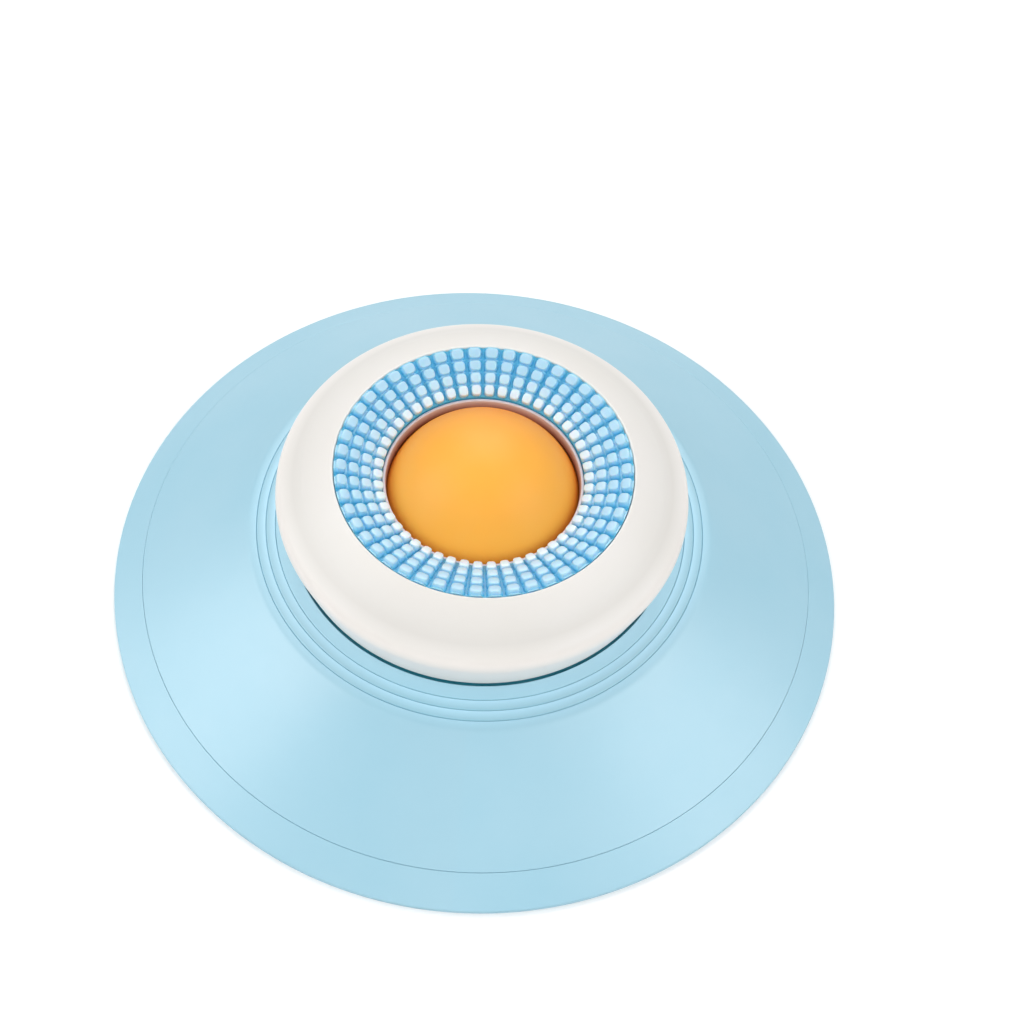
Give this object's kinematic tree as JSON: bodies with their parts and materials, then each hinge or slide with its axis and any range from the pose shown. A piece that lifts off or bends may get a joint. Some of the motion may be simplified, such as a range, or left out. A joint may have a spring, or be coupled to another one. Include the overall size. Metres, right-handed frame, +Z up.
{
  "type": "lick toy",
  "caption": "Round table-top lick toy with a flared base, a lift-out food cup under a bayonet lid, a ring of soft nubs and a ball that rolls in the food.",
  "frame": {"origin": "middle of the rim's underside, on the surface that the toy stands on", "axes": "+Z up along the axis that the pieces are turned about; the toy is round, so X and Y are free, with the picture taken from -Y"},
  "size_m": [0.15, 0.15, 0.0458],
  "materials": {
    "skirt": "satin moulded light blue",
    "rim": "soft matte light blue",
    "suction": "smooth pale blue",
    "cup": "satin moulded white",
    "seal": "matte pale grey",
    "retainer": "satin moulded white",
    "nubs": "smooth sky blue with paler tips",
    "collar": "satin moulded warm white",
    "ball": "smooth satin orange"
  },
  "bodies": {
    "base": {"base_skirt": "skirt", "rim_grip": "rim", "suction_cup_1": "suction", "suction_cup_2": "suction", "suction_cup_3": "suction", "suction_cup_4": "suction"},
    "cup": {"food_cup": "cup", "cup_seal": "seal"},
    "lid": {"retaining_ring": "retainer", "nub_ring": "nubs"},
    "collar": {"collar": "collar"},
    "ball": {"lick_ball": "ball"}
  },
  "joints": [
    {"name": "cup_lift", "type": "slide", "parent": "base", "child": "cup", "axis": [0, 0, 1], "range_m": [0, 0.04]},
    {"name": "lid_lift", "type": "slide", "parent": "cup", "child": "lid", "axis": [0, 0, 1], "range_m": [0, 0.03]},
    {"name": "collar_twist", "type": "hinge", "parent": "lid", "child": "collar", "pos_m": [0, 0, 0.0226], "axis": [0, 0, 1], "range_deg": [-60, 0]},
    {"name": "ball_roll", "type": "hinge", "parent": "cup", "child": "ball", "pos_m": [0, 0, 0.0258], "axis": [1, 0, 0], "continuous": true}
  ]
}
